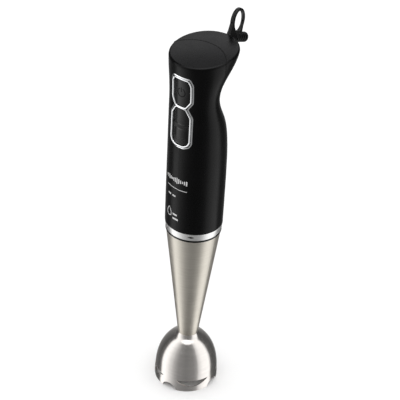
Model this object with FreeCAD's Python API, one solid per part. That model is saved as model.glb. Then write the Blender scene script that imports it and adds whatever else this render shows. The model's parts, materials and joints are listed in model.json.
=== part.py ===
import FreeCAD, Part
import math
import os

# Immersion blender, in millimetres. +Z is up along the drive axis, the buttons
# face -Y, and the origin is on the drive axis in the plane that the bell's feet
# stand on. Angles called "azimuth" are counted from the front (-Y) towards +X.

# ---- driving dimensions ------------------------------------------------------

FOOT_Z = 0.0
BELL_RADIUS = 32.0
BELL_WALL = 1.0
NECK_Z = 55.3                 # weld between the bell and the shaft tube
NECK_RADIUS = 10.2
SLOT_COUNT = 4
SLOT_AZIMUTH = 51.0           # centre of the first crescent slot
ARCH_RADIUS = 8.1             # round notch in the rim between two feet
ARCH_HEIGHT = 6.8

SHAFT_TOP_Z = 184.8
SHAFT_TOP_RADIUS = 26.5
TUBE_WALL = 0.8

GASKET_BOTTOM_Z = 184.9
RING_BOTTOM_Z = 186.2
RING_BOTTOM_RADIUS = 26.85
RING_TOP_RADIUS = 27.7
HOUSING_BOTTOM_Z = 194.0
HOUSING_WALL = 2.4
LIP_RADIUS = 22.2             # hole in the housing's bottom lip
LIP_TOP_Z = 197.0

# Outer line of the handle: height, and how far it reaches to the front, to each
# side and to the rear of the drive axis.
HANDLE_LINE = (
    (194.0, 27.8, 27.8, 27.6),
    (240.0, 28.0, 28.0, 27.6),
    (270.0, 28.0, 27.9, 27.0),
    (288.0, 28.0, 27.6, 25.2),
    (302.0, 28.0, 27.1, 22.2),
    (315.0, 28.0, 25.9, 16.7),
    (326.0, 28.0, 24.8, 11.2),
    (334.0, 28.0, 24.5, 10.0),
    (341.0, 28.1, 24.9, 10.8),
    (350.0, 28.6, 26.5, 15.0),
    (360.0, 29.6, 28.6, 23.8),
    (370.0, 30.7, 30.0, 32.8),
    (384.0, 31.9, 31.0, 39.0),
)
SECTION_STEP = 12.7           # spacing of the sections that the handle is lofted on
SECTION_POINTS = 16
TOP_DOME_RADIUS = 320.0
TOP_DOME_POINT = (0.0, 3.3, 376.0)
TOP_SLOPE = 0.10              # the top rises to the rear by this much per mm
TOP_EDGE_FILLET = 2.2
SEAM_CENTRE_Y = -24.0         # the joint of the rear cover is an arc in plan
SEAM_RADIUS = 35.0
SEAM_GAP = 0.3
COVER_BOTTOM_Z = 334.0

# Bezel and buttons
BEZEL_WAIST_Z = 328.6
BEZEL_RIDGE_WIDTH = 1.7
BEZEL_FLANK = 1.3
BEZEL_RADIUS = 29.3
BEZEL_BACK_RADIUS = 25.2
BUTTON_FACE_RADIUS = 28.2
BUTTON_GAP = 0.35
BUTTON_TRAVEL = 2.0

# Motor
STATOR_RADIUS = 22.0
STATOR_BORE = 12.3
ARMATURE_RADIUS = 11.8
MOTOR_SHAFT_RADIUS = 2.5
STACK_BOTTOM_Z = 225.0
STACK_TOP_Z = 265.0
MOTOR_BOLT_Y = 19.2
UPPER_FRAME_Z = 283.0
BRUSH_Z = 275.0

# Coupling between the handle and the shaft
SPIGOT_RADIUS = 17.5
SPIGOT_BORE = 14.0
SPIGOT_BOTTOM_Z = 160.0
SOCKET_BORE = 17.8
LUG_HALF_ANGLE = 8.0
TWIST_ANGLE = 30.0
DRIVE_SHAFT_RADIUS = 2.0

# Cord bushing and hanging loop, in the middle plane X = 0
BUSHING_SLOPE = 20.0          # degrees below level
BUSHING_END = (0.0, 60.9, 364.5)
BUSHING_RIB_RADIUS = 4.75
BUSHING_LENGTH = 26.0
BUSHING_WAIST_RADIUS = 3.5
CORD_HOLE_RADIUS = 3.0


# ---- helpers -----------------------------------------------------------------

def vec(x, y, z):
    return FreeCAD.Vector(x, y, z)


ORIGIN = vec(0, 0, 0)
UP = vec(0, 0, 1)


def cylinder(radius, z_low, z_high, x=0.0, y=0.0):
    return Part.makeCylinder(radius, z_high - z_low, vec(x, y, z_low), UP)


def ring(outer, inner, z_low, z_high):
    hole = cylinder(inner, z_low - 1, z_high + 1)
    return cylinder(outer, z_low, z_high).cut(hole)


def block(x_low, x_high, y_low, y_high, z_low, z_high):
    size = (x_high - x_low, y_high - y_low, z_high - z_low)
    return Part.makeBox(*size, vec(x_low, y_low, z_low))


def revolve(profile):
    """Solid of revolution about the drive axis from (radius, height) corners."""
    points = [vec(radius, 0, z) for radius, z in profile]
    points.append(points[0])
    face = Part.Face(Part.makePolygon(points))
    return face.revolve(ORIGIN, UP, 360)


def turned(shape, azimuth):
    """A copy turned about the drive axis."""
    copy = shape.copy()
    copy.rotate(ORIGIN, UP, azimuth)
    return copy


def repeated(shape, count, first=0.0):
    """The shape and its turned copies, evenly spaced about the drive axis."""
    step = 360.0 / count
    return [turned(shape, first + i * step) for i in range(count)]


def fuse(shapes):
    solid = shapes[0]
    if len(shapes) > 1:
        solid = solid.multiFuse(list(shapes[1:]))
    return solid.removeSplitter()


def cut(solid, tools):
    for tool in tools:
        solid = solid.cut(tool)
    return solid


def wedge(half_angle, reach, z_low, z_high):
    """Triangular prism that opens from the drive axis towards the front."""
    side = reach * math.tan(math.radians(half_angle))
    points = [vec(0, 0, z_low), vec(side, -reach, z_low), vec(-side, -reach, z_low)]
    points.append(points[0])
    return Part.Face(Part.makePolygon(points)).extrude(vec(0, 0, z_high - z_low))


def sector(outer, inner, half_angle, z_low, z_high, azimuth=0.0):
    """Part of a ring, centred on an azimuth."""
    slice_tool = wedge(half_angle, outer * 3, z_low - 1, z_high + 1)
    piece = ring(outer, inner, z_low, z_high).common(slice_tool)
    return turned(piece, azimuth)


def front_prism(outline, y_front, y_back):
    """Extrude an (x, z) outline along Y."""
    points = [vec(x, y_front, z) for x, z in outline]
    points.append(points[0])
    return Part.Face(Part.makePolygon(points)).extrude(vec(0, y_back - y_front, 0))


def vertical_screw(x, y, z_head, z_tip, radius, head_radius, head_height):
    """Cross-recessed screw; z_head is under the head, z_tip the thread's end."""
    low, high = min(z_head, z_tip), max(z_head, z_tip)
    thread = cylinder(radius, low, high, x, y)
    away = 1 if z_head > z_tip else -1
    top = z_head + away * head_height
    head = cylinder(head_radius, min(z_head, top), max(z_head, top), x, y)
    half, depth, arm = 0.35, 0.5 * head_height, 0.7 * head_radius
    low_cut, high_cut = sorted((top, top - away * depth))
    cross_x = block(x - arm, x + arm, y - half, y + half, low_cut, high_cut)
    cross_y = block(x - half, x + half, y - arm, y + arm, low_cut, high_cut)
    return fuse([thread, head]).cut(cross_x).cut(cross_y)


def save(name, *shapes):
    shape = shapes[0] if len(shapes) == 1 else Part.makeCompound(list(shapes))
    if not shape.isValid():
        print("not valid:", name)
    shape.exportStep("parts/%s.step" % name)
    print("%-22s solids %2d  volume %9.1f" % (name, len(shape.Solids), shape.Volume))


def tube_radius(z):
    """Outer radius of the conical shaft tube."""
    share = (z - NECK_Z) / (SHAFT_TOP_Z - NECK_Z)
    return NECK_RADIUS + share * (SHAFT_TOP_RADIUS - NECK_RADIUS)


# ---- bell and shaft ----------------------------------------------------------

def bell_curve(inset):
    """Outer line of the bell, or a line inside it, from the rim to the neck."""
    line = [(BELL_RADIUS, 6.0), (31.5, 14.0), (29.9, 25.0), (26.6, 35.0),
            (21.2, 44.0), (15.4, 50.0), (11.7, 53.0), (NECK_RADIUS, NECK_Z)]
    drop = (0.0, 0.0, 0.2, 0.5, 0.8, 0.9, 0.4, 0.0)
    pull = (1.0, 1.0, 0.95, 0.85, 0.6, 0.6, 0.9, 1.0)
    points = [vec(radius - inset * in_share, 0, z - inset * down)
              for (radius, z), down, in_share in zip(line, drop, pull)]
    curve = Part.BSplineCurve()
    curve.interpolate(points)
    return curve


def bell_solid(inset):
    """Full body under the bell's outer line, or under a line inside it."""
    curve = bell_curve(inset)
    rim, neck = curve.StartPoint, curve.EndPoint
    top = vec(neck.x, 0, neck.z + (0.0 if inset == 0 else 1.0))
    edges = [Part.LineSegment(vec(rim.x, 0, FOOT_Z - inset), rim).toShape(),
             curve.toShape()]
    if inset:
        edges.append(Part.LineSegment(neck, top).toShape())
    edges.append(Part.LineSegment(top, vec(0, 0, top.z)).toShape())
    edges.append(Part.LineSegment(vec(0, 0, top.z), vec(0, 0, FOOT_Z - inset)).toShape())
    edges.append(Part.LineSegment(vec(0, 0, FOOT_Z - inset),
                                  vec(rim.x, 0, FOOT_Z - inset)).toShape())
    return Part.Face(Part.Wire(edges)).revolve(ORIGIN, UP, 360)


def crescent_cutter():
    """Smile-shaped slot, cut outwards from inside the bell's front."""
    tip_x, tip_z, top_z, bottom_z = 16.6, 12.6, 13.4, 6.4
    y_near, y_far = -15.0, -40.0
    left, right = vec(-tip_x, y_near, tip_z), vec(tip_x, y_near, tip_z)
    upper = Part.Arc(left, vec(0, y_near, top_z), right).toShape()
    lower = Part.Arc(right, vec(0, y_near, bottom_z), left).toShape()
    return Part.Face(Part.Wire([upper, lower])).extrude(vec(0, y_far - y_near, 0))


def bell_guard():
    shell = bell_solid(0).cut(bell_solid(BELL_WALL))
    arch_z = FOOT_Z + ARCH_HEIGHT - ARCH_RADIUS
    arch = Part.makeCylinder(ARCH_RADIUS, 30, vec(0, -15, arch_z), vec(0, -1, 0))
    tools = repeated(crescent_cutter(), SLOT_COUNT, SLOT_AZIMUTH)
    tools += repeated(arch, SLOT_COUNT, SLOT_AZIMUTH + 180.0 / SLOT_COUNT)
    return cut(shell, tools)


def shaft_tube():
    outer = [(NECK_RADIUS, NECK_Z), (SHAFT_TOP_RADIUS, SHAFT_TOP_Z)]
    inner = [(radius - TUBE_WALL, z) for radius, z in reversed(outer)]
    return revolve(outer + inner)


SOCKET_FLOOR_Z = 152.0
SOCKET_FLOOR_TOP_Z = 156.0
BUSH_RADIUS = 4.5


def socket_outer(z):
    return tube_radius(z) - TUBE_WALL - 0.05


def shaft_socket():
    top = SHAFT_TOP_Z - 0.1
    body = revolve([
        (BUSH_RADIUS, 144.0), (7.5, 144.0), (7.5, SOCKET_FLOOR_Z),
        (socket_outer(SOCKET_FLOOR_Z), SOCKET_FLOOR_Z), (socket_outer(top), top),
        (SOCKET_BORE, top), (SOCKET_BORE, SOCKET_FLOOR_TOP_Z),
        (BUSH_RADIUS, SOCKET_FLOOR_TOP_Z)])
    groove = ring(18.4, SOCKET_BORE - 1, 175.8, 177.4)
    lug = sector(SOCKET_BORE + 0.5, 15.0, LUG_HALF_ANGLE, 164.0, 169.0)
    return fuse([body.cut(groove)] + repeated(lug, 2))


def bush(z_low, z_high):
    bore = DRIVE_SHAFT_RADIUS + 0.05
    collar = ring(BUSH_RADIUS, bore, z_low, z_high)
    return collar


def bush_housing():
    neck_inner = NECK_RADIUS - BELL_WALL - 0.1
    return revolve([
        (BUSH_RADIUS, 40.0), (7.0, 37.0), (7.0, 48.0), (neck_inner - 0.6, 51.5),
        (neck_inner, 54.0), (neck_inner, 66.0), (6.5, 68.0), (BUSH_RADIUS, 68.0)])


def shaft_seal():
    lip = revolve([(2.1, 36.6), (2.7, 36.0), (5.6, 37.2), (4.45, 40.2),
                   (4.45, 43.6), (2.1, 43.6)])
    return lip


# ---- blade and drive shaft ---------------------------------------------------

DOG_RADIUS = 9.0
JAW_HALF_ANGLE = 22.0


def dog(hub_low, hub_high, jaw_low, jaw_high, bore, azimuth):
    hub = ring(DOG_RADIUS, bore, hub_low, hub_high)
    jaw = sector(DOG_RADIUS, 3.4, JAW_HALF_ANGLE, jaw_low, jaw_high)
    return fuse([hub] + repeated(jaw, 2, azimuth))


def drive_shaft():
    rod = cylinder(DRIVE_SHAFT_RADIUS, 22.0, 161.0)
    return rod.makeChamfer(0.4, [rod.Edges[0], rod.Edges[2]])


def blade_wing(lift):
    """One wing of the blade, swept back and bent up or down towards its tip."""
    root_z, thick = 28.0, 1.2
    bend_x, tip_x = 11.0, 22.0
    root = [(3.0, -4.2), (bend_x, -4.0), (bend_x, 3.6), (3.0, 4.2)]
    inner = Part.Face(Part.makePolygon([vec(x, y, root_z) for x, y in root + root[:1]]))
    inner = inner.extrude(vec(0, 0, thick))
    stations = ((bend_x, -4.0, 3.6, root_z), (tip_x, -0.4, 3.0, root_z + lift))
    wires = []
    for x, y_edge, y_back, z in stations:
        corners = [vec(x, y_edge, z), vec(x, y_back, z), vec(x, y_back, z + thick),
                   vec(x, y_edge + 1.0, z + thick)]
        wires.append(Part.makePolygon(corners + corners[:1]))
    outer = Part.makeLoft(wires, True, True)
    return fuse([inner, outer])


def blade():
    disc = cylinder(5.6, 28.0, 29.2)
    wings = [blade_wing(4.5), turned(blade_wing(-3.0), 180)]
    bore = cylinder(DRIVE_SHAFT_RADIUS, 27.0, 30.0)
    return fuse([disc] + wings).cut(bore)


def blade_hub():
    return revolve([(DRIVE_SHAFT_RADIUS, 29.2), (5.4, 29.2), (4.2, 31.0),
                    (4.2, 35.2), (DRIVE_SHAFT_RADIUS, 35.2)])


def blade_nut():
    hexagon = [vec(4.4 * math.cos(math.radians(60 * i)),
                   4.4 * math.sin(math.radians(60 * i)), 24.4) for i in range(6)]
    prism = Part.Face(Part.makePolygon(hexagon + hexagon[:1])).extrude(vec(0, 0, 3.6))
    return prism.cut(cylinder(DRIVE_SHAFT_RADIUS, 24.0, 29.0))


# ---- coupling nose and ring --------------------------------------------------

NOSE_SCREW_RADIUS = 19.8
NOSE_SCREW_AZIMUTH = 30.0


def nose():
    body = revolve([
        (3.4, 181.0), (SPIGOT_BORE, 181.0), (SPIGOT_BORE, SPIGOT_BOTTOM_Z),
        (SPIGOT_RADIUS, SPIGOT_BOTTOM_Z), (SPIGOT_RADIUS, 189.2), (21.9, 189.2),
        (21.9, 197.1), (25.0, 197.1), (25.0, 199.4), (SPIGOT_BORE, 199.4),
        (SPIGOT_BORE, 186.0), (3.4, 186.0)])
    open_angle = 2 * LUG_HALF_ANGLE + TWIST_ANGLE + 1.4
    slot = sector(SPIGOT_RADIUS + 1, SPIGOT_BORE - 1, open_angle / 2,
                  SPIGOT_BOTTOM_Z - 1, 170.0, TWIST_ANGLE / 2)
    groove = ring(SPIGOT_RADIUS + 1, 16.6, 176.0, 177.2)
    hole = cylinder(1.3, 188.0, 200.0, 0, -NOSE_SCREW_RADIUS)
    return cut(body, repeated(slot, 2) + [groove] + repeated(hole, 3, NOSE_SCREW_AZIMUTH))


def retaining_clip():
    gap = wedge(20.0, 40.0, 175.0, 178.0)
    return ring(17.75, 16.65, 176.1, 177.1).cut(turned(gap, 90))


def collar_ring():
    body = revolve([
        (17.7, RING_BOTTOM_Z), (RING_BOTTOM_RADIUS - 0.3, RING_BOTTOM_Z),
        (RING_BOTTOM_RADIUS, RING_BOTTOM_Z + 0.3),
        (RING_TOP_RADIUS, HOUSING_BOTTOM_Z - 0.5),
        (RING_TOP_RADIUS - 0.3, HOUSING_BOTTOM_Z - 0.05),
        (22.1, HOUSING_BOTTOM_Z - 0.05), (22.1, 189.1), (17.7, 189.1)])
    hole = cylinder(1.35, 186.0, 190.0, 0, -NOSE_SCREW_RADIUS)
    recess = cylinder(2.4, 186.0, 187.9, 0, -NOSE_SCREW_RADIUS)
    for tool in (hole, recess):
        body = cut(body, repeated(tool, 3, NOSE_SCREW_AZIMUTH))
    return body.cut(lock_mark_prism())


LOCK_MARK_AZIMUTH = 33.0


def lock_mark_prism():
    """Lens-shaped mark, a little proud of nothing: it fills a shallow recess."""
    z, half_width, half_height = 190.4, 4.0, 0.95
    outline = [(-half_width, z), (0.0, z + 0.45 * half_height), (half_width, z),
               (0.0, z - half_height)]
    return turned(front_prism(outline, -28.5, -26.6), LOCK_MARK_AZIMUTH)


def lock_mark():
    skin = revolve([(26.0, RING_BOTTOM_Z + 0.3), (RING_BOTTOM_RADIUS, RING_BOTTOM_Z + 0.3),
                    (RING_TOP_RADIUS, HOUSING_BOTTOM_Z - 0.5), (26.0, HOUSING_BOTTOM_Z - 0.5)])
    return lock_mark_prism().common(skin)


def nose_screws():
    screw = vertical_screw(0, -NOSE_SCREW_RADIUS, 187.9, 203.5, 1.25, 2.2, 1.5)
    return repeated(screw, 3, NOSE_SCREW_AZIMUTH)


# ---- handle shells -----------------------------------------------------------

def section_wire(z, front, side, rear):
    middle = (rear - front) / 2
    depth = (rear + front) / 2
    points = []
    for i in range(SECTION_POINTS):
        angle = 2 * math.pi * i / SECTION_POINTS
        points.append(vec(side * math.sin(angle), middle - depth * math.cos(angle), z))
    curve = Part.BSplineCurve()
    curve.interpolate(points, PeriodicFlag=True)
    return Part.Wire(curve.toShape())


def slopes_along(heights, values):
    """Slope at each point of a smooth line that never overshoots its points."""
    steps = [(values[i + 1] - values[i]) / (heights[i + 1] - heights[i])
             for i in range(len(values) - 1)]
    slopes = [steps[0]]
    for before, after in zip(steps, steps[1:]):
        flat = before * after <= 0
        slopes.append(0.0 if flat else 2 * before * after / (before + after))
    return slopes + [steps[-1]]


def smooth_value(z, column):
    """Reach of the handle at a height, from one column of HANDLE_LINE."""
    heights = [row[0] for row in HANDLE_LINE]
    values = [row[column] for row in HANDLE_LINE]
    slopes = slopes_along(heights, values)
    i = max(k for k in range(len(heights) - 1) if heights[k] <= z + 1e-9)
    width = heights[i + 1] - heights[i]
    t = (z - heights[i]) / width
    rise = values[i + 1] - values[i]
    bend_low = slopes[i] * width - rise
    bend_high = rise - slopes[i + 1] * width
    return values[i] + t * rise + t * (1 - t) * ((1 - t) * bend_low + t * bend_high)


def handle_loft(inset, z_low):
    z_high = HANDLE_LINE[-1][0]
    count = round((z_high - z_low) / SECTION_STEP)
    wires = []
    for i in range(count + 1):
        z = z_low + i * (z_high - z_low) / count
        front, side, rear = (smooth_value(z, column) - inset for column in (1, 2, 3))
        wires.append(section_wire(z, front, side, rear))
    return Part.makeLoft(wires, True, False)


def under_dome(inset):
    """Ball whose upper skin is the handle's gently crowned, sloping top."""
    length = math.hypot(1, TOP_SLOPE)
    normal = vec(0, -TOP_SLOPE / length, 1 / length)
    centre = vec(*TOP_DOME_POINT) - normal * TOP_DOME_RADIUS
    return Part.makeSphere(TOP_DOME_RADIUS - inset, centre, vec(0, -1, 0))


def handle_shell():
    outer = handle_loft(0, HOUSING_BOTTOM_Z).common(under_dome(0))
    top_edges = [e for e in outer.Edges if e.BoundBox.ZMin > 360]
    outer = outer.makeFillet(TOP_EDGE_FILLET, top_edges)
    inner = handle_loft(HOUSING_WALL, LIP_TOP_Z).common(under_dome(HOUSING_WALL))
    lip_hole = cylinder(LIP_RADIUS, HOUSING_BOTTOM_Z - 1, LIP_TOP_Z + 1)
    return outer.cut(inner).cut(lip_hole)


def cover_zone(gap):
    """Everything behind the arc of the cover's joint, above the waist."""
    zone = block(-60, 60, -60, 80, COVER_BOTTOM_Z, 420)
    post = cylinder(SEAM_RADIUS + gap, COVER_BOTTOM_Z - 1, 421, 0, SEAM_CENTRE_Y)
    return zone.cut(post)


def along_bushing(distance, rise=0.0):
    """Point on the bushing's axis, this far back from its end."""
    slope = math.radians(BUSHING_SLOPE)
    end = vec(*BUSHING_END)
    back = vec(0, -math.cos(slope), math.sin(slope))
    lift = vec(0, math.sin(slope), math.cos(slope))
    return end + back * distance + lift * rise


def bushing_rod(radius, start, stop):
    first = along_bushing(start)
    return Part.makeCylinder(radius, abs(stop - start), first,
                             along_bushing(stop) - first)


def loop_outline_solid(half_width, grow=0.0):
    """Hanging loop: an oval plate in the middle plane, with a wide front leg."""
    def oval(y, z, along_y, along_z):
        turn = FreeCAD.Placement(vec(-half_width, y, z),
                                 FreeCAD.Rotation(vec(0, 1, 0), 90))
        ellipse = Part.Ellipse(ORIGIN, along_z, along_y).toShape()
        face = Part.Face(Part.Wire(ellipse))
        face.Placement = turn
        return face.extrude(vec(2 * half_width, 0, 0))

    body = oval(48.9, 385.2, 9.5 + grow, 12.3 + grow)
    leg = [(40.9, 391.5), (39.2 - grow, 385.0), (37.0 - grow, 379.5),
           (34.4 - grow, 375.5), (39.0, 367.0), (54.6, 366.0),
           (57.4 + grow, 382.0), (48.0, 380.0)]
    points = [vec(-half_width, y, z) for y, z in leg]
    foot = Part.Face(Part.makePolygon(points + points[:1]))
    foot = foot.extrude(vec(2 * half_width, 0, 0))
    hole = oval(49.7, 384.8, 6.3, 9.9)
    return fuse([body, foot]), hole


LOOP_HALF_WIDTH = 1.5


def bushing_root(radius):
    """Inner end of the bushing, which bends level inside the head."""
    first, last = vec(0, 37.5, 373.4), vec(0, 22.0, 370.0)
    return Part.makeCylinder(radius, (last - first).Length, first, last - first)


def cord_bushing():
    plate, hole = loop_outline_solid(LOOP_HALF_WIDTH)
    loop = plate.cut(hole)
    loop = loop.cut(block(-10, 10, 0, 90, 300, 368.5))
    core = bushing_rod(BUSHING_WAIST_RADIUS, 0, BUSHING_LENGTH)
    flange = block(-6, 6, 22.0, 24.0, 364.5, 373.6)
    pieces = [core, loop, bushing_root(BUSHING_WAIST_RADIUS - 0.2), flange]
    rib_pitch, rib_length = 3.5, 2.2
    for i in range(5):
        start = i * rib_pitch
        pieces.append(bushing_rod(BUSHING_RIB_RADIUS, start, start + rib_length))
    body = fuse(pieces)
    body = body.cut(bushing_rod(CORD_HOLE_RADIUS, -1, BUSHING_LENGTH))
    return body.cut(bushing_root(CORD_HOLE_RADIUS - 0.4))


def bushing_hole():
    """Opening that the cover leaves for the bushing and the loop's foot."""
    sleeve = bushing_rod(BUSHING_RIB_RADIUS + 0.1, -2, BUSHING_LENGTH)
    plate, hole = loop_outline_solid(LOOP_HALF_WIDTH + 0.1, 0.1)
    return [sleeve, plate, bushing_root(BUSHING_WAIST_RADIUS - 0.1)]


def main_housing(shell):
    window = base_outline(0.05)
    opening = front_prism(window, -32, -15)
    return cut(shell, [cover_zone(-SEAM_GAP / 2), opening])


def clamp_points():
    return [(side * 5.0, 16.5) for side in (-1, 1)]


def rear_cover(shell):
    """Cap over the rear overhang, with two posts for the cord clamp inside."""
    cover = cut(shell.common(cover_zone(SEAM_GAP / 2)), bushing_hole())
    for x, y in clamp_points():
        post = cylinder(2.7, 368.1, 375.6, x, y)
        cover = cover.fuse(post).cut(cylinder(1.15, 368.0, 373.4, x, y))
    return cover


# ---- bezel and buttons -------------------------------------------------------

def mirrored(half):
    """Close a right-hand chain of (x, z) points with its mirror image."""
    return half + [(-x, z) for x, z in reversed(half)]


def ridge_outline(grow=0.0):
    """Outline of the bezel's ridge: a six-sided cell over a longer one."""
    flat = 0.5 * grow
    half = [(8.7 + flat, 358.3 + grow), (11.0 + grow, 353.6 + flat),
            (11.0 + grow, 335.6 - flat), (6.6 + grow, BEZEL_WAIST_Z),
            (11.2 + grow, 320.2 + flat), (11.2 + grow, 293.8 - flat),
            (9.4 + flat, 290.0 - flat), (4.6 + flat, 288.0 - grow)]
    return mirrored(half)


def base_outline(grow=0.0):
    return ridge_outline(BEZEL_FLANK + grow)


def upper_cell(inset):
    side = 11.0 - BEZEL_RIDGE_WIDTH - inset
    top = 358.3 - BEZEL_RIDGE_WIDTH - inset
    bottom = BEZEL_WAIST_Z + 1.1 + inset
    half = [(side - 2.0, top), (side, top - 4.2), (side, 336.0 - 0.4 * inset),
            (5.0 - 0.6 * inset, bottom)]
    return mirrored(half)


def lower_cell(inset):
    side = 11.2 - BEZEL_RIDGE_WIDTH - inset
    top = BEZEL_WAIST_Z - 1.1 - inset
    bottom = 288.0 + BEZEL_RIDGE_WIDTH + inset
    half = [(5.0 - 0.6 * inset, top), (side, 319.8 + 0.4 * inset),
            (side, 294.6 + 0.4 * inset), (side - 1.7, bottom + 1.8),
            (4.2 - 0.4 * inset, bottom)]
    return mirrored(half)


def round_corners(prism, radius):
    """Fillet the edges of a Y-wise prism that run between its two ends."""
    box = prism.BoundBox
    edges = []
    for edge in prism.Edges:
        if edge.BoundBox.YLength > 0.9 * box.YLength:
            edges.append(edge)
    return prism.makeFillet(radius, edges)


def button_bezel():
    """Bright raised frame: a sloping flank outside, two windows inside."""
    y_ridge, y_deep = -BEZEL_RADIUS, -BEZEL_RADIUS + 4.0
    wires = []
    for y, grow in ((y_ridge, -2.0), (y_deep, 2.0)):
        points = [vec(x, y, z) for x, z in ridge_outline(grow)]
        wires.append(Part.makePolygon(points + points[:1]))
    flank = Part.makeLoft(wires, True, True)
    deep = front_prism(base_outline(), y_deep, -15)
    body = fuse([flank, deep]).common(front_prism(base_outline(), -32, -15))
    body = body.common(ring(BEZEL_RADIUS, BEZEL_BACK_RADIUS, 280, 365))
    windows = [round_corners(front_prism(cell(0.0), -32, -15), 0.8)
               for cell in (upper_cell, lower_cell)]
    return cut(body, windows)


SWITCH_TIP_Y = -18.4
SPEED_Z = 343.4
TURBO_Z = 307.0


def button(cell, stem_z, stem_x=0.0):
    """Cap that fills a bezel window, with a flange behind it and a stem."""
    cap = round_corners(front_prism(cell(BUTTON_GAP), -32, -15), 0.6)
    cap = cap.common(ring(BUTTON_FACE_RADIUS, 22.6, 280, 365))
    flange = front_prism(cell(-0.8), -32, -15).common(ring(24.9, 23.3, 280, 365))
    y_tip = SWITCH_TIP_Y - BUTTON_TRAVEL - 0.2
    stem = Part.makeCylinder(2.0, 3.6, vec(stem_x, y_tip - 3.6, stem_z), vec(0, 1, 0))
    return fuse([cap, flange, stem])


def speed_icon():
    """Round embossed mark on the upper button: a ring around a short bar."""
    def tube(radius):
        return Part.makeCylinder(radius, 20, vec(0, -35, SPEED_Z), vec(0, 1, 0))
    skin = ring(BUTTON_FACE_RADIUS + 0.25, BUTTON_FACE_RADIUS, 330, 356)
    circle = tube(4.3).cut(tube(3.6)).cut(block(-0.9, 0.9, -40, 0, SPEED_Z, SPEED_Z + 6))
    bar = block(-0.35, 0.35, -35, -15, SPEED_Z + 0.6, SPEED_Z + 4.6)
    return [circle.common(skin), bar.common(skin)]


def turbo_button():
    body = button(lower_cell, TURBO_Z)
    step = front_prism([(-12, 309.8), (12, 309.8), (12, 308.2), (-12, 309.0)], -32, -27.5)
    body = body.cut(step)
    for i in range(4):
        z = 291.8 + 1.5 * i
        groove = block(-6.5, 6.5, -32, -BUTTON_FACE_RADIUS + 0.55, z, z + 0.5)
        body = body.cut(groove)
    return body


# ---- electrics ---------------------------------------------------------------

BOARD_Y = -12.0
BOARD_THICKNESS = 1.4
BOARD_FRONT_Y = BOARD_Y - BOARD_THICKNESS


def switch_board():
    board = block(-10.5, 10.5, BOARD_FRONT_Y, BOARD_Y, 297, 352)
    holes = [Part.makeCylinder(1.4, 10, vec(x, -18, z), vec(0, 1, 0))
             for x in (-8.0, 8.0) for z in (300.0, 349.0)]
    parts = [block(-6, 2, BOARD_Y, BOARD_Y + 3.5, 300, 306),
             block(-4, 4, BOARD_Y, BOARD_Y + 5, 314, 322),
             Part.makeCylinder(3.0, 8, vec(4, BOARD_Y, 334), vec(0, 1, 0))]
    return fuse([cut(board, holes)] + parts)


def micro_switches():
    switches = []
    for z in (SPEED_Z, TURBO_Z):
        case = block(-3, 3, BOARD_FRONT_Y - 3.6, BOARD_FRONT_Y, z - 3, z + 3)
        plunger = Part.makeCylinder(1.6, 2.0, vec(0, SWITCH_TIP_Y, z), vec(0, 1, 0))
        switches.append(fuse([case, plunger]))
    return switches


def board_posts():
    """Two strips that carry the switch board on the housing's side walls."""
    strips = []
    for side in (-1, 1):
        low, high = sorted((side * 10.8, side * 13.2))
        strips.append(block(low, high, BOARD_FRONT_Y - 1.6, BOARD_Y + 1.6, 300, 349))
        low, high = sorted((side * 8.5, side * 10.8))
        strips[-1] = fuse([strips[-1], block(low, high, BOARD_Y, BOARD_Y + 1.6, 300, 349)])
    return strips


def cord_clamp():
    bar = block(-7.5, 7.5, 14.0, 19.0, 366.0, 368.1)
    return cut(bar, [cylinder(1.2, 365, 369, x, y) for x, y in clamp_points()])


def cord_clamp_screws():
    return [vertical_screw(x, y, 366.0, 373.0, 1.15, 2.1, 1.4) for x, y in clamp_points()]


# ---- motor -------------------------------------------------------------------

def stator_core():
    frame = ring(STATOR_RADIUS, 17.0, STACK_BOTTOM_Z, STACK_TOP_Z)
    shoe = sector(14.1, STATOR_BORE, 52.0, STACK_BOTTOM_Z, STACK_TOP_Z)
    neck = block(-6, 6, -17.6, -13.6, STACK_BOTTOM_Z, STACK_TOP_Z)
    poles = [turned(fuse([shoe, neck]), azimuth) for azimuth in (90, 270)]
    holes = [cylinder(1.7, STACK_BOTTOM_Z - 1, STACK_TOP_Z + 1, 0, side * MOTOR_BOLT_Y)
             for side in (-1, 1)]
    return cut(fuse([frame] + poles), holes)


def field_coils():
    coil = sector(16.9, 14.3, 46.0, STACK_BOTTOM_Z - 5, STACK_TOP_Z + 4)
    window = block(-6.2, 6.2, -20, -10, STACK_BOTTOM_Z - 0.3, STACK_TOP_Z + 0.3)
    coil = coil.cut(window)
    return [turned(coil, azimuth) for azimuth in (90, 270)]


def armature_core():
    stack = ring(ARMATURE_RADIUS, MOTOR_SHAFT_RADIUS, 227.0, 263.0)
    slot = block(-0.9, 0.9, -12.5, -6.2, 226.0, 264.0)
    return cut(stack, repeated(slot, 12))


def armature_windings():
    ends = [revolve([(4.0, 263.0), (10.6, 263.0), (9.6, 267.6), (5.0, 268.6)]),
            revolve([(4.0, 227.0), (10.6, 227.0), (9.6, 222.4), (5.0, 221.4)])]
    bar = block(-0.85, 0.85, -10.4, -6.3, 226.5, 263.5)
    return fuse(ends + repeated(bar, 12))


def commutator():
    drum = ring(7.0, MOTOR_SHAFT_RADIUS, 269.0, 281.0)
    groove = block(-0.2, 0.2, -8.0, -6.4, 268.0, 282.0)
    return cut(drum, repeated(groove, 12, 15.0))


def cooling_fan():
    hub = ring(5.0, MOTOR_SHAFT_RADIUS, 208.0, 217.0)
    disc = ring(17.2, 4.5, 208.0, 209.2)
    vane = block(-0.5, 0.5, -17.0, -4.6, 208.5, 215.5)
    return fuse([hub, disc] + repeated(vane, 9))


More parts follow.
